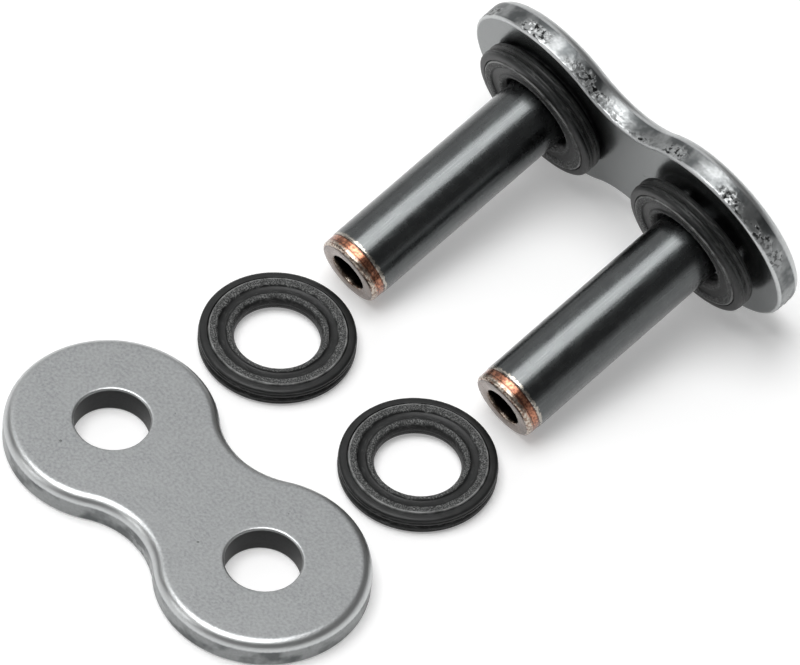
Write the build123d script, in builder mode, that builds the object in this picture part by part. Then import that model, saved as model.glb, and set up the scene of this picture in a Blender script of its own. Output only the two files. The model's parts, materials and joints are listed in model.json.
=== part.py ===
"""Rivet-type connecting link set for a 5/8 inch pitch sealed motorcycle chain.

Eight pieces, laid out in the order in which they go together: the back plate with its
two hollow-ended pins and a seal ring on each, two more seal rings, and the front plate.
The link lies on its lobes and pin ends, with the pins towards -Y, and the loose pieces
lie flat. Millimetres, +Z up, and Z = 0 is the surface that the set lies on.
"""

import os
from math import atan2, cos, radians, sin

from build123d import *

# --- chain size -------------------------------------------------------------------
pitch = 15.875  # distance between the pin centres, 5/8 inch
pin_diameter = 5.4
pin_reach = 19.6  # from the back plate's inner face to the pin's free end
pin_tail = 0.2  # end of the pin that stands out of the back plate's outer face
pin_tail_chamfer = 0.1

# --- link plates, both the same pressing --------------------------------------------
lobe_diameter = 15.1  # plate height over each pin
waist_height = 9.95  # plate height half way between the pins
plate_thickness = 2.2
rim_roll = 0.8  # rounded rim that the die leaves round one face
edge_round = 0.25  # broken rim of the other face, and of the pins' free ends
hole_lip = 0.18  # rounded lip of each hole
press_interference = 0.02  # each plate hole is this much smaller than the pin, on radius

# --- free end of each pin -----------------------------------------------------------
tip_length = 1.1  # softened tip that is spread when the link is riveted
tip_step = 0.05  # how far the tip stands below the shank, on radius
tip_step_run = 0.08  # length of the small cone between shank and tip
rivet_hole_diameter = 3.0
rivet_hole_depth = 3.2
rivet_hole_mouth = 0.1  # chamfer of the hole's mouth

# --- seal rings, whose section has four lobes ---------------------------------------
ring_bore_clearance = 0.7  # how much wider a ring's bore is than a pin
ring_width = 2.55  # from the bore to the outside
ring_thickness = 1.55
ring_lobe_radius = 0.4
ring_face_groove_depth = 0.24
ring_side_groove_depth = 0.12
ring_groove_share = 0.76  # of the flat between two lobes that the groove takes
ring_groove_soften = 0.1  # where a groove meets a lobe

# --- how the pieces lie -------------------------------------------------------------
ring_hang_clearance = 0.12  # a hanging ring's bore is this far above its pin
left_ring_gap = 0.1  # from the back plate to the seated ring
right_ring_gap = 0.5
ring_stop_clearance = 0.1  # left in front of a seated ring at either end of its travel
pin_to_ring_gap = 0.66  # from the pin ends to the row of loose rings
ring_to_plate_gap = 1.57  # from the loose rings to the front plate
left_ring_shift = (0.25, 0.1)  # how far each loose piece lies out of line
right_ring_shift = (-0.95, -0.1)
front_plate_shift = -0.8
front_plate_turn = -1.1  # degrees about +Z
lift = 30.0  # travel that takes a loose piece clear of the set

# --- worked out from the above ------------------------------------------------------
pin_radius = pin_diameter / 2
hole_radius = pin_radius - press_interference
tip_radius = pin_radius - tip_step
rivet_hole_radius = rivet_hole_diameter / 2
lobe_radius = lobe_diameter / 2
ring_inner_radius = (pin_diameter + ring_bore_clearance) / 2
ring_middle_radius = ring_inner_radius + ring_width / 2
ring_outer_radius = ring_inner_radius + ring_width
ring_drop = ring_inner_radius - pin_radius - ring_hang_clearance
sides = {"left": -1, "right": 1}

# The link lies on two lobes and two pin ends. Both are rounded alike, so the line
# that touches them has the slope of the pins.
slope = atan2(lobe_radius - tip_radius, pin_reach)
pin_axis_height = (
    (lobe_radius - edge_round) * cos(slope) - edge_round * sin(slope) + edge_round
)

# Distances towards -Y from the middle of the back plate's inner face
back_plate_rear = (
    (plate_thickness - rim_roll) * cos(slope)
    + (lobe_radius - rim_roll) * sin(slope)
    + rim_roll
)
pin_end_distance = pin_reach * cos(slope) + tip_radius * sin(slope)
loose_ring_distance = pin_end_distance + pin_to_ring_gap + ring_outer_radius
front_plate_distance = (
    loose_ring_distance + ring_outer_radius + ring_to_plate_gap + lobe_radius
)
turn = radians(front_plate_turn)
front_plate_half_length = pitch / 2 * cos(turn) + lobe_radius
front_plate_half_depth = pitch / 2 * abs(sin(turn)) + lobe_radius

# The origin lies under the middle of the whole set.
left_end = min(-pitch / 2 - lobe_radius, front_plate_shift - front_plate_half_length)
right_end = max(pitch / 2 + lobe_radius, front_plate_shift + front_plate_half_length)
front_end = -front_plate_distance - front_plate_half_depth
middle_x = (left_end + right_end) / 2
middle_y = (back_plate_rear + front_end) / 2

# Inner face of the back plate: X across the link, Z along the pins to their free ends
inner_face = Plane(
    origin=(-middle_x, -middle_y, pin_axis_height),
    x_dir=(1, 0, 0),
    z_dir=(0, -cos(slope), -sin(slope)),
)
# Burr face of the front plate, lying on the surface
front_face = Plane(
    origin=(front_plate_shift - middle_x, -front_plate_distance - middle_y, 0),
    x_dir=(cos(turn), sin(turn), 0),
    z_dir=(0, 0, 1),
)
ring_gaps = {"left": left_ring_gap, "right": right_ring_gap}
ring_shifts = {"left": left_ring_shift, "right": right_ring_shift}


def pin_plane(side):
    """Plane across a pin where it leaves the back plate, with Z along the pin."""
    return Plane(inner_face * Pos(sides[side] * pitch / 2, 0, 0))


def seated_ring_plane(side):
    """Middle plane of the ring that hangs on a pin."""
    along = ring_gaps[side] + ring_thickness / 2
    return Plane(pin_plane(side) * Pos(0, -ring_drop, along))


def loose_ring_plane(side):
    """Middle plane of a ring that lies flat in front of a pin."""
    shift_x, shift_y = ring_shifts[side]
    x = sides[side] * pitch / 2 + shift_x - middle_x
    y = shift_y - loose_ring_distance - middle_y
    return Plane(Pos(x, y, ring_thickness / 2))


def half_section(piece_plane):
    """Plane through a round piece's axis: X is the radius and Y runs along the axis."""
    return Plane(
        origin=piece_plane.origin,
        x_dir=piece_plane.x_dir,
        z_dir=-piece_plane.y_dir,
    )


def groove_radius(chord, depth):
    """Radius of a groove from its width at the surface and its depth."""
    return (chord**2 / 4 + depth**2) / (2 * depth)


def link_plate(burr_face):
    """Figure-eight plate that stands on its burr face, with its rolled rim above."""
    half_pitch = pitch / 2
    half_waist = waist_height / 2
    waist_radius = (half_pitch**2 + half_waist**2 - lobe_radius**2) / (
        2 * (lobe_radius - half_waist)
    )
    # Where a lobe runs into a waist arc, on the line between their centres
    share = lobe_radius / (lobe_radius + waist_radius)
    join_x = half_pitch * (1 - share)
    join_y = (half_waist + waist_radius) * share
    end_x = half_pitch + lobe_radius
    up = Axis(burr_face.origin, burr_face.z_dir)

    with BuildPart() as plate:
        with BuildSketch(burr_face):
            with BuildLine():
                ThreePointArc((-join_x, join_y), (0, half_waist), (join_x, join_y))
                ThreePointArc((join_x, join_y), (end_x, 0), (join_x, -join_y))
                ThreePointArc((join_x, -join_y), (0, -half_waist), (-join_x, -join_y))
                ThreePointArc((-join_x, -join_y), (-end_x, 0), (-join_x, join_y))
            make_face()
            with Locations((-half_pitch, 0), (half_pitch, 0)):
                Circle(hole_radius, mode=Mode.SUBTRACT)
        extrude(amount=plate_thickness)
        faces = plate.faces().filter_by(GeomType.PLANE).sort_by(up)
        burr_rim = faces[0].outer_wire().edges()
        rolled_rim = faces[-1].outer_wire().edges()
        lips = faces[0].inner_wires() + faces[-1].inner_wires()
        fillet(rolled_rim, rim_roll)
        fillet(burr_rim, edge_round)
        fillet([wire.edges()[0] for wire in lips], hole_lip)
    return plate


def hollow_pin(start):
    """Pin through the back plate at start, hollow at its free end for riveting."""
    axis = Axis(start.origin, start.z_dir)
    tail_end = -plate_thickness - pin_tail
    tip_start = pin_reach - tip_length

    with BuildPart() as pin:
        with BuildSketch(half_section(start)):
            with BuildLine():
                Polyline(
                    (0, tail_end),
                    (hole_radius - pin_tail_chamfer, tail_end),
                    (hole_radius, tail_end + pin_tail_chamfer),
                    (hole_radius, 0),
                    (pin_radius, 0),
                    (pin_radius, tip_start),
                    (tip_radius, tip_start + tip_step_run),
                    (tip_radius, pin_reach),
                    (0, pin_reach),
                    close=True,
                )
            make_face()
        revolve(axis=axis)
        with Locations(start.offset(pin_reach)):
            Hole(rivet_hole_radius, depth=rivet_hole_depth)
        free_end = pin.faces().filter_by(GeomType.PLANE).sort_by(axis)[-1]
        fillet(free_end.outer_wire().edges(), edge_round)
        chamfer(free_end.inner_wires()[0].edges(), rivet_hole_mouth)
    return pin


def seal_ring(middle):
    """Ring whose section has a lobe at each corner and a groove between each two."""
    face_chord = (ring_width - 2 * ring_lobe_radius) * ring_groove_share
    side_chord = (ring_thickness - 2 * ring_lobe_radius) * ring_groove_share
    face_radius = groove_radius(face_chord, ring_face_groove_depth)
    side_radius = groove_radius(side_chord, ring_side_groove_depth)
    face_centre = ring_thickness / 2 - ring_face_groove_depth + face_radius
    side_centre = ring_width / 2 - ring_side_groove_depth + side_radius

    with BuildPart() as ring:
        with BuildSketch(half_section(middle)) as section:
            with Locations((ring_middle_radius, 0)):
                RectangleRounded(ring_width, ring_thickness, ring_lobe_radius)
                lobes = section.vertices()
                with Locations((0, face_centre), (0, -face_centre)):
                    Circle(face_radius, mode=Mode.SUBTRACT)
                with Locations((side_centre, 0), (-side_centre, 0)):
                    Circle(side_radius, mode=Mode.SUBTRACT)
            fillet(section.vertices() - lobes, ring_groove_soften)
        revolve(axis=Axis(middle.origin, middle.z_dir))
    return ring


def ring_travel(side):
    """How far a seated ring slides back to the plate, and on until it meets the bench."""
    lobe_out = ring_drop + ring_outer_radius - ring_lobe_radius
    lobe_along = ring_gaps[side] + ring_thickness - ring_lobe_radius
    lowest = (
        pin_axis_height
        - lobe_out * cos(slope)
        - lobe_along * sin(slope)
        - ring_lobe_radius
    )
    back = ring_gaps[side] - ring_stop_clearance
    return -back, (lowest - ring_stop_clearance) / sin(slope)


os.makedirs("parts", exist_ok=True)

# The back plate's rolled face looks away from the pins.
back_plate = link_plate(
    Plane(inner_face.origin, x_dir=inner_face.x_dir, z_dir=-inner_face.z_dir)
)
back_plate.part.label = "back_plate"
export_step(back_plate.part, "parts/back_plate.step")

front_plate = link_plate(front_face)
front_plate.part.label = "front_plate"
export_step(front_plate.part, "parts/front_plate.step")

for side in sides:
    pin = hollow_pin(pin_plane(side))
    pin.part.label = f"pin_{side}"
    export_step(pin.part, f"parts/pin_{side}.step")

    seated_ring = seal_ring(seated_ring_plane(side))
    seated_ring.part.label = f"seated_ring_{side}"
    export_step(seated_ring.part, f"parts/seated_ring_{side}.step")

    loose_ring = seal_ring(loose_ring_plane(side))
    loose_ring.part.label = f"loose_ring_{side}"
    export_step(loose_ring.part, f"parts/loose_ring_{side}.step")

    start, end = ring_travel(side)
    print(f"{side} pin starts at {pin_plane(side).origin}, direction {pin_plane(side).z_dir}")
    print(f"{side} seated ring slides from {start:.2f} to {end:.2f} mm")
    print(f"{side} loose ring is centred on {loose_ring_plane(side).origin}")
    hole = front_face * Pos(sides[side] * pitch / 2, 0, plate_thickness / 2)
    print(f"{side} front plate hole is centred on {hole.position}, radius {hole_radius:.3f}")
print(f"front plate is centred on {front_face.origin}, thickness {plate_thickness}")
print(f"a loose piece lifts {lift} mm")
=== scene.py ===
# %% [markdown]
# # A rivet-type connecting link set for a sealed motorcycle chain
#
# The set has eight pieces: a back plate with two pins pressed into it, four seal rings
# with four-lobed sections, and a loose front plate. The CAD model gives each piece its
# size and place. This lesson gives each one the surface that its making leaves on it:
# a pressed and tumbled plate, a blackened pin with a copper-coloured tip, and a moulded
# rubber ring.
#
# Every round piece could be cut from a cylinder, but the rims, grooves and lobes are
# easier to draw once as a profile and then to spin, which is also how they are turned,
# ground or moulded. So a profile and a spin are used throughout.

import json
from math import asin, atan2, cos, pi, radians, sin

import bmesh
import bpy
from mathutils import Matrix, Vector, noise


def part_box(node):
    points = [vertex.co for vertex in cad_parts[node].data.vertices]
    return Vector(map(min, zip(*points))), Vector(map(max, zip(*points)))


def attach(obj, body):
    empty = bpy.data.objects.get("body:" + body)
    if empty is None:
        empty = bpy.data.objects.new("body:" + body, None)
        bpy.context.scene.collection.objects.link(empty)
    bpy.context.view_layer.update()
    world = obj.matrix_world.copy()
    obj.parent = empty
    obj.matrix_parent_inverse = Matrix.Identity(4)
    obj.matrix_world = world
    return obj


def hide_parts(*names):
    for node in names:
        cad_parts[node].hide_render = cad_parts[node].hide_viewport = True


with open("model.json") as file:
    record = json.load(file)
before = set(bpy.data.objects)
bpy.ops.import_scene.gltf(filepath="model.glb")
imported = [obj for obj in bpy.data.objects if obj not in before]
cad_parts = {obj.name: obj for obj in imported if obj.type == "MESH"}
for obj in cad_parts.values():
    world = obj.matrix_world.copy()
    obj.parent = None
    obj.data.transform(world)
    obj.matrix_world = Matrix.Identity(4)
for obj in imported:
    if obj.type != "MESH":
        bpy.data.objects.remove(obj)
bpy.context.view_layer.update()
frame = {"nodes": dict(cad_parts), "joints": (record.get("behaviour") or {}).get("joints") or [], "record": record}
MM = 0.001
print("nodes:", sorted(frame["nodes"]))

# %% [markdown]
# ## Where everything is
#
# A place is a matrix from a piece's own frame to the row frame. Each piece's own frame has
# Z along its pin or through its thickness. The places could be typed in, but they would
# then go wrong when the CAD changes, so they come from the boxes, mounts and joint axes
# that the CAD hands over.

# %% Places and sizes from the frame
mounts = {mount["name"]: mount for mount in frame["record"]["mounts"]}
axes = {joint["child"]: Vector(joint["axis"]) for joint in frame["joints"]}
sides = {"left": -1, "right": 1}


def place(origin, x_axis, z_axis):
    """Matrix that takes a piece from its own frame to its place."""
    y_axis = z_axis.cross(x_axis)
    matrix = Matrix((x_axis, y_axis, z_axis)).transposed().to_4x4()
    matrix.translation = origin
    return matrix


holes = [Vector(mounts[f"plate_hole_{side}"]["pos_m"]) for side in sides]
across = (holes[1] - holes[0]).normalized()
pitch = (holes[1] - holes[0]).length
hole_radius = mounts["plate_hole_left"]["dims"]["r_mm"] * MM
pin_radius = mounts["pins"]["dims"]["stud_r_mm"] * MM
plate_low, plate_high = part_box("front_plate")
plate_thickness = plate_high.z - plate_low.z
lobe_radius = (plate_high.y - plate_low.y - pitch * abs(across.y)) / 2

pin_reach = 19.6 * MM  # from the back plate's inner face to the pins' free ends
pin_axis = Vector(mounts["pins"]["axis"]).normalized()
inner_middle = Vector(mounts["pins"]["pos_m"]) - pin_axis * pin_reach / 2
level = Vector((1, 0, 0))
front_middle = (holes[0] + holes[1]) / 2
front_middle.z = plate_low.z

places = {
    "front_plate": place(front_middle, across, Vector((0, 0, 1))),
    "back_plate": place(inner_middle, level, -pin_axis),
}
for side, sign in sides.items():
    pin_start = inner_middle + level * sign * pitch / 2
    places[f"pin_{side}"] = place(pin_start, level, pin_axis)
    for kind in ("seated", "loose"):
        ring_name = f"{kind}_ring_{side}"
        low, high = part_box(ring_name)
        places[ring_name] = place((low + high) / 2, level, axes[ring_name].normalized())

ring_low, ring_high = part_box("loose_ring_left")
ring_radius = (ring_high.x - ring_low.x) / 2
ring_thickness = ring_high.z - ring_low.z
ring_width = 2.55 * MM  # from the bore to the outside
print(f"pitch {pitch / MM:.3f}, lobe radius {lobe_radius / MM:.3f} mm")
print(f"plate {plate_thickness / MM:.2f} thick, ring {2 * ring_radius / MM:.2f} across")

# %% [markdown]
# ## Camera
#
# A long lens from well back, as a maker's catalogue uses, keeps the two plates nearly the
# same size. The camera looks down on the set over its front left corner and is rolled a
# little, so that the set runs up the frame from corner to corner.

# %% Camera
azimuth = radians(41.97)
elevation = radians(49.77)
roll = radians(6.60)
camera_distance = 0.6089
look_at = Vector((inner_middle.x - 3.00 * MM, inner_middle.y - 18.32 * MM, 0))

forward = Vector(
    (-sin(azimuth) * cos(elevation), cos(azimuth) * cos(elevation), -sin(elevation))
)
right = Vector((cos(azimuth), sin(azimuth), 0))
camera_place = place(look_at - forward * camera_distance, right, -forward)
camera_data = bpy.data.cameras.new("camera")
camera_data.lens = 389.5
camera_data.sensor_width = 36
camera_data.clip_start = 0.01
camera = bpy.data.objects.new("camera", camera_data)
camera.matrix_world = camera_place @ Matrix.Rotation(roll, 4, "Z")
bpy.context.scene.collection.objects.link(camera)
bpy.context.scene.camera = camera
print(f"camera {camera_distance:.3f} m away, with a {camera_data.lens:.0f} mm lens")

# %% [markdown]
# ## Tools for shaping
#
# A profile is drawn the way a hand draws it: one vertex is extruded from corner to corner,
# and the corners are then rounded by a bevel on their vertices. The same few steps serve
# the plate's rim, the pin and the ring, so they are written once.


# %% Draw a profile
def start_editing(piece):
    """Puts one object alone into edit mode, with nothing in it selected."""
    bpy.ops.object.select_all(action="DESELECT")
    piece.select_set(True)
    bpy.context.view_layer.objects.active = piece
    bpy.ops.object.mode_set(mode="EDIT")
    bpy.ops.mesh.select_mode(type="VERT")
    bpy.ops.mesh.select_all(action="DESELECT")


def select_where(piece, test):
    """Selects the vertices whose place passes the test, and nothing else."""
    shape = bmesh.from_edit_mesh(piece.data)
    for vertex in shape.verts:
        vertex.select = test(vertex.co)
    shape.select_flush_mode()
    bmesh.update_edit_mesh(piece.data)


def draw_profile(name, corners, closed=False):
    """Extrudes a vertex along (across, along, rounding) corners in the X-Z plane."""
    points = [Vector((x, 0, z)) * MM for x, z, rounding in corners]
    bpy.ops.object.select_all(action="DESELECT")
    bpy.ops.mesh.primitive_plane_add(size=MM, location=points[0])
    piece = bpy.context.object
    piece.name = piece.data.name = name
    bpy.ops.object.transform_apply(location=True)
    bpy.ops.object.mode_set(mode="EDIT")
    bpy.ops.mesh.merge(type="CENTER")
    path = points + points[:1] if closed else points
    for start, end in zip(path, path[1:]):
        bpy.ops.mesh.extrude_region_move(TRANSFORM_OT_translate={"value": end - start})
    bpy.ops.mesh.select_all(action="SELECT")
    bpy.ops.mesh.remove_doubles(threshold=0.0001 * MM)
    for point, (x, z, rounding) in zip(points, corners):
        if rounding:
            select_where(piece, lambda co: (co - point).length < 0.001 * MM)
            bpy.ops.mesh.bevel(
                affect="VERTICES",
                offset=rounding * MM,
                segments=max(3, round(rounding / 0.05)),
            )
    return piece


def spin_round(angle, steps, centre=(0, 0, 0)):
    """Spins what is selected about an upright axis, and leaves the far end selected."""
    # The operator turns clockwise, so the axis points down for the usual sense.
    bpy.ops.mesh.spin(steps=steps, angle=angle, center=centre, axis=(0, 0, -1))


def close_up(piece):
    """Merges the seams, turns the faces outwards and smooths all but the sharp edges."""
    bpy.ops.mesh.select_all(action="SELECT")
    bpy.ops.mesh.remove_doubles(threshold=0.001 * MM)
    bpy.ops.mesh.normals_make_consistent(inside=False)
    bpy.ops.object.mode_set(mode="OBJECT")
    bpy.ops.object.shade_smooth_by_angle(angle=radians(40))
    own = piece.data.attributes.new("own", "FLOAT_VECTOR", "POINT")
    for vertex, kept in zip(piece.data.vertices, own.data):
        kept.vector = vertex.co / MM
    print(piece.name, "has", len(piece.data.vertices), "vertices")


def put_in_place(master, name, body):
    """Copies a piece, puts the copy's own mesh in its place and hands it to its body."""
    piece = master.copy()
    piece.data = master.data.copy()
    piece.name = piece.data.name = f"{name}_finished"
    bpy.context.scene.collection.objects.link(piece)
    bpy.ops.object.select_all(action="DESELECT")
    piece.select_set(True)
    bpy.context.view_layer.objects.active = piece
    piece.matrix_world = places[name]
    bpy.ops.object.transform_apply(location=True, rotation=True, scale=True)
    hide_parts(name)
    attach(piece, body)
    return piece


def roughen(piece, zone, size, depth):
    """Displaces the vertices that zone weighs, by noise of a size and depth in mm."""
    own = piece.data.attributes["own"]
    weights = [
        max(0.0, min(zone(kept.vector.copy(), vertex.co), 1.0))
        for vertex, kept in zip(piece.data.vertices, own.data)
    ]
    group = piece.vertex_groups.new(name="rough")
    for index, weight in enumerate(weights):
        if weight > 0:
            group.add([index], weight, "REPLACE")
    torn = piece.data.attributes.new("torn", "FLOAT", "POINT")
    torn.data.foreach_set("value", weights)
    tears = bpy.data.textures.new(f"{piece.name}_noise", "CLOUDS")
    tears.noise_scale = size * MM
    tears.noise_depth = 2
    tears.contrast = 1.6
    change = piece.modifiers.new("rough", "DISPLACE")
    change.texture = tears
    change.texture_coords = "LOCAL"
    change.vertex_group = "rough"
    change.strength = depth * MM
    change.mid_level = 0.6
    bpy.context.view_layer.objects.active = piece
    bpy.ops.object.modifier_apply(modifier="rough")
    piece.vertex_groups.clear()

# %% [markdown]
# ## Link plate
#
# The press punches the figure-eight out of strip. Its die pulls the rim of one face down
# into a soft roll, the wall below is first sheared smooth and then tears, and the other
# face keeps a crisp rim. A boolean of two discs and a bar would give the outline, but not
# that wall. So the wall's profile is drawn once and swept round the outline in four
# spins, two about the pins and two about the waist, and each hole is a profile of its own.

# %% Outline of the plate
waist_height = 9.95 * MM
half_pitch = pitch / 2
half_waist = waist_height / 2
waist_radius = (half_pitch**2 + half_waist**2 - lobe_radius**2) / (
    2 * (lobe_radius - half_waist)
)
share = lobe_radius / (lobe_radius + waist_radius)
join = Vector((half_pitch * (1 - share), (half_waist + waist_radius) * share, 0))
lobe_sweep = 2 * atan2(join.y, join.x - half_pitch)
waist_sweep = 2 * asin(join.x / waist_radius)
print(f"waist radius {waist_radius / MM:.2f} mm")

# %% Rim and walls of the plate
rim_roll = 0.8
torn_zone = 1.0  # height of the torn part of the wall, above the crisp face
torn_step = 0.01  # how far the tear lies inside the sheared part
edge_round = 0.25
hole_lip = 0.18
strip = 0.12  # flat strip inside each rim, so that the face beside it shades flat
top = plate_thickness / MM
rim_out = lobe_radius / MM
hole_out = hole_radius / MM

rim_corners = [
    (rim_out - rim_roll - strip, top, 0),
    (rim_out, top, rim_roll),
    (rim_out, torn_zone, 0),
    (rim_out - torn_step, torn_zone - 0.12, 0),
    (rim_out - torn_step / 2, 0, edge_round),
    (rim_out - edge_round - strip, 0, 0),
]
plate = draw_profile("plate", rim_corners)
# The wall gets rows of vertices between its corners, which the tearing moves later.
select_where(plate, lambda co: co.x > (rim_out - 0.1) * MM and 0.2 * MM < co.z)
bpy.ops.mesh.subdivide(number_cuts=1)
select_where(plate, lambda co: co.x > (rim_out - 0.1) * MM and 0.2 * MM < co.z < MM)
bpy.ops.mesh.subdivide(number_cuts=3)

# %% Sweep the rim round the outline
bpy.ops.mesh.select_all(action="SELECT")
# With no window the rotate operator turns clockwise, here to the lobe's lower end.
bpy.ops.transform.rotate(
    value=lobe_sweep / 2, orient_axis="Z", center_override=(0, 0, 0)
)
bpy.ops.transform.translate(value=(half_pitch, 0, 0))
for sign in (1, -1):
    spin_round(lobe_sweep, 260, centre=(sign * half_pitch, 0, 0))
    waist_centre = (0, sign * (half_waist + waist_radius), 0)
    spin_round(-waist_sweep, 70, centre=waist_centre)
bpy.ops.object.mode_set(mode="OBJECT")

# %% Punch the holes and fill the faces
hole_corners = [
    (hole_out + hole_lip + strip, top, 0),
    (hole_out, top, hole_lip),
    (hole_out, 0, hole_lip),
    (hole_out + hole_lip + strip, 0, 0),
]
walls = [plate]
for sign in (-1, 1):
    wall = draw_profile("hole", hole_corners)
    bpy.ops.mesh.select_all(action="SELECT")
    bpy.ops.transform.translate(value=(sign * half_pitch, 0, 0))
    spin_round(2 * pi, 96, centre=(sign * half_pitch, 0, 0))
    bpy.ops.object.mode_set(mode="OBJECT")
    walls.append(wall)
bpy.ops.object.select_all(action="DESELECT")
for wall in walls:
    wall.select_set(True)
bpy.context.view_layer.objects.active = plate
bpy.ops.object.join()

start_editing(plate)
bpy.ops.mesh.select_all(action="SELECT")
bpy.ops.mesh.remove_doubles(threshold=0.001 * MM)
for height in (0, plate_thickness):
    bpy.ops.mesh.select_all(action="DESELECT")
    bpy.ops.mesh.select_non_manifold(
        extend=False,
        use_wire=False,
        use_multi_face=False,
        use_non_contiguous=False,
        use_verts=False,
    )
    shape = bmesh.from_edit_mesh(plate.data)
    for vertex in shape.verts:
        if abs(vertex.co.z - height) > 0.01 * MM:
            vertex.select = False
    shape.select_flush(False)
    bmesh.update_edit_mesh(plate.data)
    bpy.ops.mesh.fill(use_beauty=True)
close_up(plate)

# %% [markdown]
# ## Pin
#
# A pin is ground from bar, blackened, and drilled at its free end, whose softened tip is
# later spread over the front plate. One profile holds the shank, the small step down to
# the tip, the worn corner, the end face and the blind hole with its drill point.

# %% Pin profile
pin_out = pin_radius / MM
reach = pin_reach / MM
tip_length = 1.1
tip_out = pin_out - 0.05
tip_start = reach - tip_length
tail_end = -top - 0.2
rivet_hole_out = 1.5
rivet_hole_depth = 3.2
drill_point = 0.4

pin_corners = [
    (0, tail_end, 0),
    (hole_out, tail_end, 0.1),
    (hole_out, 0, 0),
    (pin_out, 0, 0),
    (pin_out, tip_start, 0.03),
    (tip_out, tip_start + 0.08, 0.03),
    (tip_out, reach, 0.25),
    (rivet_hole_out, reach, 0.1),
    (rivet_hole_out, reach - rivet_hole_depth, 0),
    (0, reach - rivet_hole_depth - drill_point, 0),
]
pin = draw_profile("pin", pin_corners)
bpy.ops.mesh.select_all(action="SELECT")
spin_round(2 * pi, 128)
close_up(pin)

# %% [markdown]
# ## Seal ring
#
# The ring is moulded rubber. Its section has a lobe at each corner, a groove in each face,
# and a shallow groove round the inside and the outside, with a little flash left where the
# two halves of the mould met. A bought primitive such as a torus has a round section, so
# the section is drawn instead and spun.

# %% Ring section
half_width = ring_width / MM / 2
half_thick = ring_thickness / MM / 2
crest = half_thick
upper_half = [
    (half_width - 0.12, 0.06, 0),
    (half_width - 0.01, 0.18, 0.05),
    (half_width, 0.32, 0.05),
    (half_width - 0.07, 0.38, 0.02),
    (half_width - 0.03, 0.46, 0.05),
    (half_width - 0.08, crest - 0.10, 0.20),
    (0.67, crest - 0.06, 0.03),
    (0.61, crest - 0.19, 0),
    (0.55, crest, 0.04),
    (0.00, crest - 0.03, 0.1),
    (-0.08, crest - 0.17, 0.04),
    (-0.38, crest - 0.28, 0.2),
    (-0.66, crest - 0.22, 0.05),
    (-0.72, crest - 0.12, 0.06),
    (-0.98, crest - 0.12, 0.14),
    (-1.24, crest - 0.42, 0.2),
    (-half_width, 0.14, 0.08),
    (-half_width + 0.04, 0, 0.06),
]
lower_half = [(x, -z, rounding) for x, z, rounding in reversed(upper_half[:-1])]
flash = [(half_width - 0.05, 0, 0)]
ring_middle = ring_radius / MM - half_width
ring_corners = [
    (ring_middle + x, z, rounding) for x, z, rounding in upper_half + lower_half + flash
]
ring = draw_profile("ring", ring_corners, closed=True)
bpy.ops.mesh.select_all(action="SELECT")
spin_round(2 * pi, 280)
close_up(ring)

# %% [markdown]
# ## Materials
#
# The colours are written as they look on a screen and are made linear by one function.
# One small function adds a node with its settings and links.


# %% Helpers for materials
def colour(code):
    """Linear colour, with alpha, from an sRGB hex code."""
    parts = [int(code[i : i + 2], 16) / 255 for i in (1, 3, 5)]
    return [c / 12.92 if c < 0.04045 else ((c + 0.055) / 1.055) ** 2.4 for c in parts] + [1]


def add(tree, kind, *values, **settings):
    """Adds a node with its settings, fills or links its inputs and returns its output."""
    made = tree.nodes.new("ShaderNode" + kind)
    for name, value in settings.items():
        setattr(made, name, value)
    in_use = [socket for socket in made.inputs if socket.enabled]
    for socket, value in zip(in_use, values):
        if isinstance(value, bpy.types.NodeSocket):
            tree.links.new(value, socket)
        else:
            socket.default_value = value
    return next((socket for socket in made.outputs if socket.enabled), None)


def start_material(name):
    """New material with its shader and with its places in mm."""
    material = bpy.data.materials.new(name)
    material.use_nodes = True
    tree = material.node_tree
    tree.nodes.clear()
    shader = add(tree, "BsdfPrincipled").node
    add(tree, "OutputMaterial", shader.outputs[0])
    where = add(tree, "TexCoord").node.outputs["Object"]
    where = add(tree, "VectorMath", where, 1 / MM, operation="SCALE")
    return material, tree, shader, where


def round_places(tree):
    """Places in a round piece's own frame in mm, with their radius and height."""
    own = add(tree, "Attribute", attribute_name="own").node.outputs["Vector"]
    height = add(tree, "SeparateXYZ", own).node.outputs[2]
    flat = add(tree, "VectorMath", own, (1, 1, 0), operation="MULTIPLY")
    radius = add(tree, "VectorMath", flat, operation="LENGTH")
    return own, radius, height


def band(tree, value, start, full, fade, end):
    """A stripe of the surface: 1 from full to fade, 0 before start and after end."""
    rise = add(tree, "MapRange", value, start, full)
    fall = add(tree, "MapRange", value, fade, end, 1.0, 0.0)
    return add(tree, "Math", rise, fall, operation="MULTIPLY")
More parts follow.
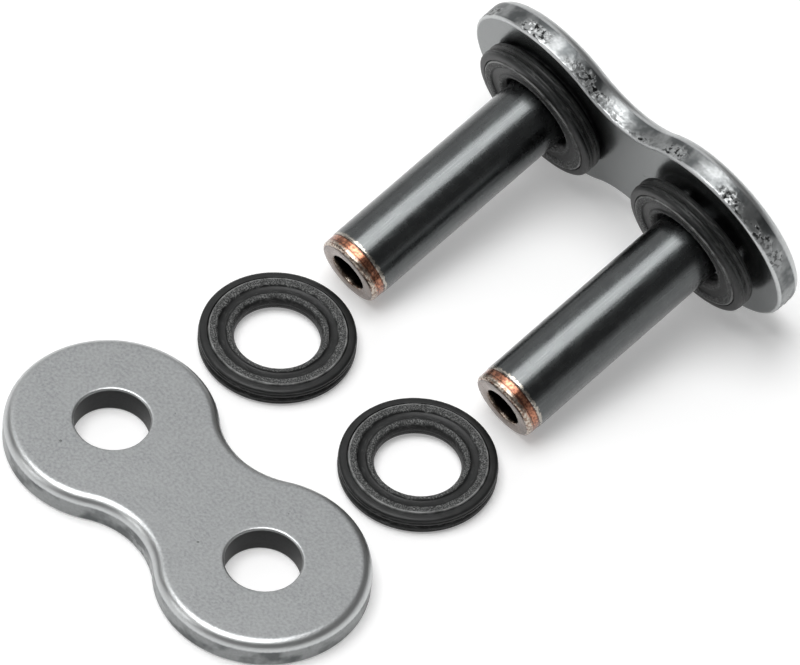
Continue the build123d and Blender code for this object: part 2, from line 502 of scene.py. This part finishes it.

# %% [markdown]
# ### Plate steel
#
# Pressed medium-carbon steel, hardened and then tumbled with stones. The eye sees an even
# satin grey with fine darker mottling left by the stones, a few small pits, and brighter
# rims, partly metal that the tumbling has polished and partly a painted highlight. The
# crisp face is a darker grey, partly the duller burr side and partly painted shade. The torn
# part of the wall is pitted black and bright by turns, and the bores are painted near black
# as shade.


# %% Tumbled plate steel
def tumbled_steel():
    """Satin grey pressed steel with mottling, pits and torn stretches on its wall."""
    material, tree, shader, where = start_material("tumbled_plate_steel")
    face, wall, rim, bore, torn = (
        add(tree, "Attribute", attribute_name=name).node.outputs["Fac"]
        for name in ("crisp", "wall", "rim", "bore", "torn")
    )

    # The stones leave a fine mottling over broader and fainter clouds. It is drawn at
    # 0.22 mm, which is as coarse as it needs to be to show.
    mottling = add(tree, "MapRange", add(tree, "TexNoise", where, 1 / 0.22, 5.0), 0.36, 0.64)
    clouds = add(tree, "MapRange", add(tree, "TexNoise", where, 1 / 1.6, 4.0), 0.3, 0.7, 0, 0.3)
    base = add(tree, "Mix", mottling, colour("#aaacad"), colour("#8e9091"), data_type="RGBA")
    base = add(tree, "Mix", clouds, base, colour("#adafaf"), data_type="RGBA")
    # The crisp face is painted a darker grey: partly the duller burr side, partly painted shade.
    crisp_shade_share = add(tree, "Math", face, 0.85, operation="MULTIPLY")
    base = add(tree, "Mix", crisp_shade_share, base, colour("#6e7171"), data_type="RGBA")
    # The rims are painted lighter: partly polish from the tumbling, partly a painted highlight.
    rim_polish_and_highlight = add(tree, "Math", rim, 0.8, operation="MULTIPLY")
    base = add(tree, "Mix", rim_polish_and_highlight, base, colour("#c6c8c8"), data_type="RGBA")

    # Along the wall the metal is burnished darker, about two millimetres at a time.
    dark_places = add(tree, "MapRange", add(tree, "TexNoise", where, 1 / 2.2, 3.0), 0.44, 0.56)
    wall_share = add(tree, "Math", wall, 0.75, operation="MULTIPLY")
    base = add(tree, "Mix", wall_share, base, colour("#7e8080"), data_type="RGBA")
    burnished = add(tree, "Math", wall, dark_places, operation="MULTIPLY")
    burnished = add(tree, "Math", burnished, 0.8, operation="MULTIPLY")
    base = add(tree, "Mix", burnished, base, colour("#4b4e4f"), data_type="RGBA")

    # Where it is torn, bright ridges stand between black hollows about 0.3 mm wide.
    tears = add(tree, "MapRange", add(tree, "TexNoise", where, 1 / 0.32, 5.0), 0.50, 0.57)
    bright = add(tree, "Math", torn, 0.45, operation="MULTIPLY")
    base = add(tree, "Mix", bright, base, colour("#d2d4d4"), data_type="RGBA")
    black = add(tree, "Math", torn, tears, operation="MULTIPLY")
    black = add(tree, "Math", black, 0.95, operation="MULTIPLY")
    base = add(tree, "Mix", black, base, colour("#141515"), data_type="RGBA")

    # A Voronoi cell here and there holds a pit, at most 0.3 mm across.
    cells = add(tree, "TexVoronoi", where, 1 / 1.3).node.outputs
    pit_size = add(tree, "MapRange", cells["Color"], 0.62, 0.95, 0.0, 0.11)
    pits = add(tree, "Math", cells["Distance"], pit_size, operation="LESS_THAN")
    pit_share = add(tree, "Math", pits, 0.6, operation="MULTIPLY")
    base = add(tree, "Mix", pit_share, base, colour("#3a3c3c"), data_type="RGBA")
    # The bores are painted near black as shade.
    bore_shade = add(tree, "Math", bore, 0.95, operation="MULTIPLY")
    base = add(tree, "Mix", bore_shade, base, colour("#262626"), data_type="RGBA")
    tree.links.new(base, shader.inputs["Base Color"])
    shader.inputs["Metallic"].default_value = 1

    rough = add(tree, "MapRange", mottling, 0, 1, 0.33, 0.40)
    rough = add(tree, "Mix", face, rough, 0.24)
    rough = add(tree, "Mix", bore, rough, 0.50)
    tree.links.new(rough, shader.inputs["Roughness"])
    hollows = add(tree, "Math", torn, tears, operation="MULTIPLY")
    hollows = add(tree, "Math", hollows, pits, operation="ADD")
    hollows = add(tree, "Math", mottling, 0.12, hollows, operation="MULTIPLY_ADD")
    dents = add(tree, "Bump", 1.0, 0.02 * MM, invert=True).node
    tree.links.new(hollows, dents.inputs["Height"])
    tree.links.new(dents.outputs[0], shader.inputs["Normal"])
    return material

# %% [markdown]
# ### Pin steel
#
# Alloy steel, ground and then blackened. Its oxide is a thin dark satin skin under a film
# of oil, with faint marks along the pin. The softened tip has taken on a copper colour,
# and the skin is worn to bright metal where the tip meets the shank and round the corner
# of its end.


# %% Blackened pin steel
def blackened_steel():
    """Black oxide on ground steel, with a copper-coloured tip and worn corners."""
    material, tree, shader, where = start_material("blackened_pin_steel")
    own, radius, along = round_places(tree)
    # The marks along the pin are drawn 0.12 mm wide, as coarse as they need to be to show,
    # and twenty times as long.
    drawn = add(tree, "VectorMath", own, (1, 1, 0.05), operation="MULTIPLY")
    marks = add(tree, "MapRange", add(tree, "TexNoise", drawn, 1 / 0.12, 3.0), 0.5, 0.8)
    skin = add(tree, "MapRange", add(tree, "TexNoise", where, 1 / 0.9, 3.0), 0.3, 0.7)
    fine = add(tree, "MapRange", add(tree, "TexNoise", where, 1 / 0.2, 4.0), 0.36, 0.62)
    base = add(tree, "Mix", skin, colour("#484a4b"), colour("#505353"), data_type="RGBA")
    marks_share = add(tree, "Math", marks, 0.3, operation="MULTIPLY")
    base = add(tree, "Mix", marks_share, base, colour("#747777"), data_type="RGBA")

    # Wear and heat have made ragged bands, so their places wander with a fine noise.
    seat = add(tree, "Math", fine, 0.16, along, operation="MULTIPLY_ADD")
    worn = band(
        tree, seat, tip_start - 0.12, tip_start - 0.04, tip_start + 0.12, tip_start + 0.16
    )
    worn = add(tree, "Math", worn, 0.8, operation="MULTIPLY")
    base = add(tree, "Mix", worn, base, colour("#b5aea4"), data_type="RGBA")
    copper = add(tree, "Mix", fine, colour("#bd8163"), colour("#6c4131"), data_type="RGBA")
    on_tip = add(tree, "MapRange", along, tip_start + 0.05, tip_start + 0.08)
    base = add(tree, "Mix", on_tip, base, copper, data_type="RGBA")
    # The two thin dark lines round the tip are painted shade, standing in for grooves.
    for line in (tip_start + 0.05, tip_start + 0.55):
        groove_shade = band(tree, along, line, line + 0.04, line + 0.07, line + 0.12)
        groove_shade = add(tree, "Math", groove_shade, 0.8, operation="MULTIPLY")
        base = add(tree, "Mix", groove_shade, base, colour("#3a2219"), data_type="RGBA")
    corner = band(tree, seat, reach - 0.36, reach - 0.28, reach + 0.06, reach + 0.12)
    bare = add(tree, "Mix", fine, colour("#cbc0b3"), colour("#7c6455"), data_type="RGBA")
    base = add(tree, "Mix", corner, base, bare, data_type="RGBA")

    # The end face is a duller bronze with a dark line round it; its hole is painted dark as shade.
    at_end = add(tree, "MapRange", along, reach - 0.06, reach - 0.01)
    bronze = add(tree, "Mix", skin, colour("#7d6b60"), colour("#63544b"), data_type="RGBA")
    inside = add(tree, "MapRange", radius, tip_out - 0.24, tip_out - 0.20, 1, 0)
    end_face = add(tree, "Math", at_end, inside, operation="MULTIPLY")
    base = add(tree, "Mix", end_face, base, bronze, data_type="RGBA")
    face_line = band(
        tree, radius, tip_out - 0.30, tip_out - 0.27, tip_out - 0.22, tip_out - 0.18
    )
    face_line = add(tree, "Math", face_line, at_end, operation="MULTIPLY")
    face_line = add(tree, "Math", face_line, 0.8, operation="MULTIPLY")
    base = add(tree, "Mix", face_line, base, colour("#35261f"), data_type="RGBA")
    # Inside the hole the colour is painted dark as shade.
    hole = add(tree, "MapRange", radius, rivet_hole_out + 0.01, rivet_hole_out + 0.06, 1, 0)
    deep = band(tree, along, reach - 5, reach - 4.5, reach - 0.30, reach - 0.08)
    hole_shade = add(tree, "Math", hole, deep, operation="MULTIPLY")
    base = add(tree, "Mix", hole_shade, base, colour("#1c1613"), data_type="RGBA")
    tree.links.new(base, shader.inputs["Base Color"])

    shader.inputs["Metallic"].default_value = 1
    shader.inputs["Coat Weight"].default_value = 0.5
    shader.inputs["Coat Roughness"].default_value = 0.16
    rough = add(tree, "MapRange", skin, 0, 1, 0.24, 0.30)
    tree.links.new(rough, shader.inputs["Roughness"])
    scratches = add(tree, "Bump", 1.0, 0.003 * MM).node
    tree.links.new(marks, scratches.inputs["Height"])
    tree.links.new(scratches.outputs[0], shader.inputs["Normal"])
    return material

# %% [markdown]
# ### Seal rubber
#
# Moulded nitrile rubber: charcoal and matt. The crests carry a greyer, granular skin that
# the mould's textured face has left. The edge beside the outer groove has a painted
# highlight, and the bore is painted near black as shade.


# %% Moulded seal rubber
def moulded_rubber():
    """Matt charcoal rubber with a grey granular skin on its crests."""
    material, tree, shader, where = start_material("moulded_seal_rubber")
    own, radius, height = round_places(tree)
    patches = add(tree, "MapRange", add(tree, "TexNoise", where, 1 / 0.8, 3.0), 0.28, 0.6)
    # The mould's grain is drawn at 0.11 mm, which is as coarse as it needs to be to show.
    fine = add(tree, "MapRange", add(tree, "TexNoise", where, 1 / 0.11, 3.0), 0.44, 0.62)
    level_place = add(tree, "Math", height, operation="ABSOLUTE")
    on_face = add(tree, "MapRange", level_place, crest - 0.34, crest - 0.20)
    place_out = add(tree, "Math", radius, ring_middle, operation="SUBTRACT")
    ragged = add(tree, "Math", patches, 0.16, place_out, operation="MULTIPLY_ADD")

    # The granular skin lies on the two crests and is worn thin in patches.
    outer_crest = band(tree, ragged, 0.02, 0.12, 0.58, 0.64)
    inner_crest = band(tree, ragged, -1.10, -1.00, -0.66, -0.58)
    crests = add(tree, "Math", outer_crest, inner_crest, operation="MAXIMUM")
    skin = add(tree, "MapRange", patches, 0, 1, 0.45, 1)
    crests = add(tree, "Math", crests, on_face, operation="MULTIPLY")
    crests = add(tree, "Math", crests, skin, operation="MULTIPLY")

    # Streaks of flow and flash run round the ring, so their pattern is stretched that way.
    turn = add(tree, "VectorMath", own, (1, 1, 0), operation="MULTIPLY")
    turn = add(tree, "VectorMath", turn, operation="NORMALIZE")
    lift = add(tree, "CombineXYZ", 0, 0, height)
    drift = add(tree, "VectorMath", turn, (1.3, 1.3, 1), lift, operation="MULTIPLY_ADD")
    flow = add(tree, "TexNoise", drift, radius, 1 / 0.15, 4.0, noise_dimensions="4D")
    off_face = add(tree, "MapRange", on_face, 0, 1, 1, 0.12)
    streaks = add(tree, "MapRange", flow, 0.54, 0.66)
    streaks = add(tree, "Math", streaks, off_face, operation="MULTIPLY")

    base = add(tree, "Mix", patches, colour("#101111"), colour("#1b1c1c"), data_type="RGBA")
    grains = add(tree, "Math", fine, crests, operation="MULTIPLY")
    for share, strength, code in (
        (crests, 0.4, "#454646"),
        (grains, 0.7, "#969796"),
        (streaks, 0.4, "#606160"),
    ):
        share = add(tree, "Math", share, strength, operation="MULTIPLY")
        base = add(tree, "Mix", share, base, colour(code), data_type="RGBA")
    # The edge beside the outer groove gets a painted highlight, broken into patches.
    lip_highlight = band(tree, place_out, 0.44, 0.50, 0.56, 0.62)
    lip_highlight = add(tree, "Math", lip_highlight, on_face, operation="MULTIPLY")
    lip_highlight = add(tree, "Math", lip_highlight, patches, operation="MULTIPLY")
    lip_highlight = add(tree, "Math", lip_highlight, 0.6, operation="MULTIPLY")
    base = add(tree, "Mix", lip_highlight, base, colour("#b4b5b4"), data_type="RGBA")
    # The ring's bore is painted near black as shade.
    bore = add(tree, "MapRange", place_out, -1.20, -1.08, 0.9, 0)
    base = add(tree, "Mix", bore, base, colour("#0a0a0a"), data_type="RGBA")
    tree.links.new(base, shader.inputs["Base Color"])

    shader.inputs["Specular IOR Level"].default_value = 0.35
    rough = add(tree, "MapRange", crests, 0, 1, 0.42, 0.62)
    tree.links.new(rough, shader.inputs["Roughness"])
    raised = add(tree, "Math", grains, streaks, operation="ADD")
    bumps = add(tree, "Bump", 1.0, 0.04 * MM).node
    tree.links.new(raised, bumps.inputs["Height"])
    tree.links.new(bumps.outputs[0], shader.inputs["Normal"])
    return material

# %% [markdown]
# ## Putting the pieces in place
#
# The plate's material needs to know where the wall, the rims, the bores and the crisp face
# are. They could be told apart by texture alone, but the shape already knows, so it marks
# its own vertices. The tearing differs from plate to plate and is marked on each copy.

# %% Mark the parts of the plate
for name in ("wall", "bore", "rim", "crisp"):
    plate.data.attributes.new(name, "FLOAT", "POINT")
marks = plate.data.attributes
for vertex in plate.data.vertices:
    steep = 1 - abs(vertex.normal.z)
    near_hole = min(
        (vertex.co.xy - Vector((sign * half_pitch, 0))).length for sign in (-1, 1)
    )
    in_bore = near_hole < hole_radius + 0.1 * MM
    upright = steep > 0.9
    marks["bore"].data[vertex.index].value = float(in_bore and upright)
    marks["wall"].data[vertex.index].value = float(not in_bore and upright)
    marks["rim"].data[vertex.index].value = min(steep / 0.1, 1) if steep < 0.8 else 0
    marks["crisp"].data[vertex.index].value = float(vertex.normal.z < -0.97)
print("marked", [mark.name for mark in marks if mark.data_type == "FLOAT"])


# %% Where the wall is torn and where the flash runs
def wall_distance(own):
    """How far a point lies out from the nearest lobe's centre, or the rim at the waist."""
    if abs(own.x) < join.x / MM:
        centre_out = (half_waist + waist_radius) / MM
        waist_centre = Vector((0, centre_out if own.y > 0 else -centre_out))
        return rim_out - ((own.xy - waist_centre).length - waist_radius / MM)
    return min((own.xy - Vector((sign * pitch / MM / 2, 0))).length for sign in (-1, 1))


def torn_wall(own, place_now):
    """Weight of the tearing: on the lower wall, in stretches along the outline."""
    depth = torn_zone + 0.5 * noise.noise(place_now / (1.1 * MM))
    on_wall = 0.12 < own.z < depth and rim_out - 0.2 < wall_distance(own)
    return 2.4 * noise.noise(place_now / (2.4 * MM)) + 0.5 if on_wall else 0


def torn_waist(own, place_now):
    """Weight of the tearing on a plate that tore at its waist only."""
    return 0.6 * torn_wall(own, place_now) if abs(own.x) < join.x / MM else 0


def flash_line(own, place_now):
    """Weight of the mould's flash: on the thin ridge round the ring's outside."""
    return float(abs(own.z) < 0.05 and own.xy.length > ring_middle + half_width - 0.10)


# %% Make the materials and put the pieces in place
for master, material in (
    (plate, tumbled_steel()),
    (pin, blackened_steel()),
    (ring, moulded_rubber()),
):
    master.data.materials.append(material)

for name, body, zone in (
    ("front_plate", "front_plate", torn_waist),
    ("back_plate", "link", torn_wall),
):
    piece = put_in_place(plate, name, body)
    roughen(piece, zone, 0.25, 0.12)
for side in sides:
    put_in_place(pin, f"pin_{side}", "link")
    for kind in ("seated", "loose"):
        ring_name = f"{kind}_ring_{side}"
        piece = put_in_place(ring, ring_name, ring_name)
        roughen(piece, flash_line, 0.3, 0.12)
for master in (plate, pin, ring):
    bpy.data.objects.remove(master)
print("in place:", sorted(places))

# %% [markdown]
# ## Floor and light
#
# The set lies on a plain white table under three softboxes. The floor is a matt white that
# keeps the shadow, and it glows a little where it is seen or mirrored, so that the shadow
# stays light. The room is white at the horizon and dark higher up: the satin steel then
# mirrors bright edges and a dark middle, which a plain white room would wash out.
#
# The overhead softbox gives the narrow stripe on each pin and the shine on the near rims.
# The one behind, on the left, is what the front plate's top mirrors. The small one in front
# lights the near walls of the plates and the ends of the pins.

# %% What is seen or mirrored
def seen_or_mirrored(tree):
    """1 for what the camera, a mirror or a glass shows, and 0 for light on the pieces."""
    rays = add(tree, "LightPath").node.outputs
    mirrored = add(
        tree, "Math", rays["Is Glossy Ray"], rays["Is Transmission Ray"], operation="MAXIMUM"
    )
    return add(tree, "Math", rays["Is Camera Ray"], mirrored, operation="MAXIMUM")


# %% Floor
bpy.ops.object.select_all(action="DESELECT")
bpy.ops.mesh.primitive_plane_add(size=4, location=(0, 0, 0))
floor = bpy.context.object
floor.name = "floor"
paper = bpy.data.materials.new("white_paper")
paper.use_nodes = True
paper_tree = paper.node_tree
paper_tree.nodes.clear()
floor_glow = 0.3
glow_strength = add(
    paper_tree, "Math", seen_or_mirrored(paper_tree), floor_glow, operation="MULTIPLY"
)
matt = add(paper_tree, "BsdfDiffuse", colour("#e6e6e6"))
glow = add(paper_tree, "Emission", (1, 1, 1, 1), glow_strength)
add(paper_tree, "OutputMaterial", add(paper_tree, "AddShader", matt, glow))
floor.data.materials.append(paper)
print("floor", [round(x, 2) for x in floor.dimensions])

# %% World and lamps
world = bpy.data.worlds.new("studio")
bpy.context.scene.world = world
world.use_nodes = True
sky = world.node_tree
sky.nodes.clear()
room_light = 0.14
direction = add(sky, "TexCoord").node.outputs["Generated"]
upwards = add(sky, "SeparateXYZ", direction).node.outputs[2]
backdrop = add(sky, "MapRange", upwards, 0.05, 0.35, 1.0, room_light)
strength = add(sky, "Mix", seen_or_mirrored(sky), room_light, backdrop)
add(sky, "OutputWorld", add(sky, "Background", (1, 1, 1, 1), strength))


def lamp(name, spot, width, length, power):
    """Softbox at a spot in metres, facing the middle of the set."""
    data = bpy.data.lights.new(name, "AREA")
    data.shape = "RECTANGLE"
    data.size = width
    data.size_y = length
    data.energy = power
    made = bpy.data.objects.new(name, data)
    made.location = spot
    made.rotation_euler = (-Vector(spot)).to_track_quat("-Z", "Y").to_euler()
    bpy.context.scene.collection.objects.link(made)


lamp("overhead", (-0.07, -0.06, 0.52), 0.38, 0.38, 2.4)
lamp("behind_left", (-0.42, 0.24, 0.40), 0.62, 0.46, 0.66)
lamp("front_left", (-0.30, -0.50, 0.30), 0.25, 0.25, 0.45)
bpy.context.scene.view_settings.view_transform = "Standard"
